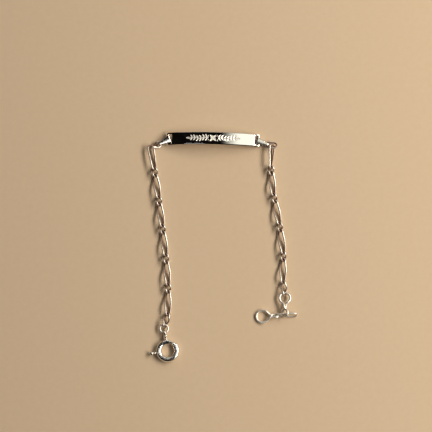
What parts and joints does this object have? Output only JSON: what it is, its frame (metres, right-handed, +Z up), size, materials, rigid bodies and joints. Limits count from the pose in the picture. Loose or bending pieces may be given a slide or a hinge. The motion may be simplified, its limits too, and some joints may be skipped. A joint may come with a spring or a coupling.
{
  "type": "christening bracelet",
  "caption": "Silver christening bracelet lying open: curved name plate, tapered bails, two curb chains with long and short links, bolt ring clasp, figure-eight rings and extender link.",
  "frame": {"origin": "middle of the bounding box seen from above, on the surface that the bracelet lies on", "axes": "+X from the bolt ring's side to the end ring's side, +Y from the open ends towards the name plate, +Z up from the surface"},
  "size_m": [0.0394, 0.061, 0.0033],
  "materials": {
    "plate_silver": "polished sterling silver with an engraved ornament",
    "bail_silver": "polished sterling silver sheet",
    "link_silver": "polished sterling silver wire, lightly worn",
    "ring_silver": "polished sterling silver wire, lightly worn",
    "clasp_silver": "polished sterling silver tube"
  },
  "bodies": {
    "bracelet": {"name_plate": "plate_silver", "left_bail": "bail_silver", "right_bail": "bail_silver", "left_link_1": "link_silver", "left_link_2": "link_silver", "left_link_3": "link_silver", "left_link_4": "link_silver", "left_link_5": "link_silver", "left_link_6": "link_silver", "left_link_7": "link_silver", "left_link_8": "link_silver", "left_link_9": "link_silver", "left_link_10": "link_silver", "left_link_11": "link_silver", "left_link_12": "link_silver", "left_link_13": "link_silver", "right_link_1": "link_silver", "right_link_2": "link_silver", "right_link_3": "link_silver", "right_link_4": "link_silver", "right_link_5": "link_silver", "right_link_6": "link_silver", "right_link_7": "link_silver", "right_link_8": "link_silver", "right_link_9": "link_silver", "right_link_10": "link_silver", "right_link_11": "link_silver", "jump_ring": "ring_silver", "bolt_ring": "clasp_silver", "figure_eight_ring": "ring_silver", "extender_link": "link_silver", "end_ring": "ring_silver"},
    "bolt": {"bolt": "clasp_silver"}
  },
  "joints": [
    {"name": "bolt_slide_round", "type": "hinge", "parent": "bracelet", "child": "bolt", "pos_m": [-0.01405, -0.0275, 0.0007], "axis": [0, 0, 1], "range_deg": [0, 44], "stiffness_Nm_per_rad": 0.002, "springref_deg": -11.46}
  ]
}
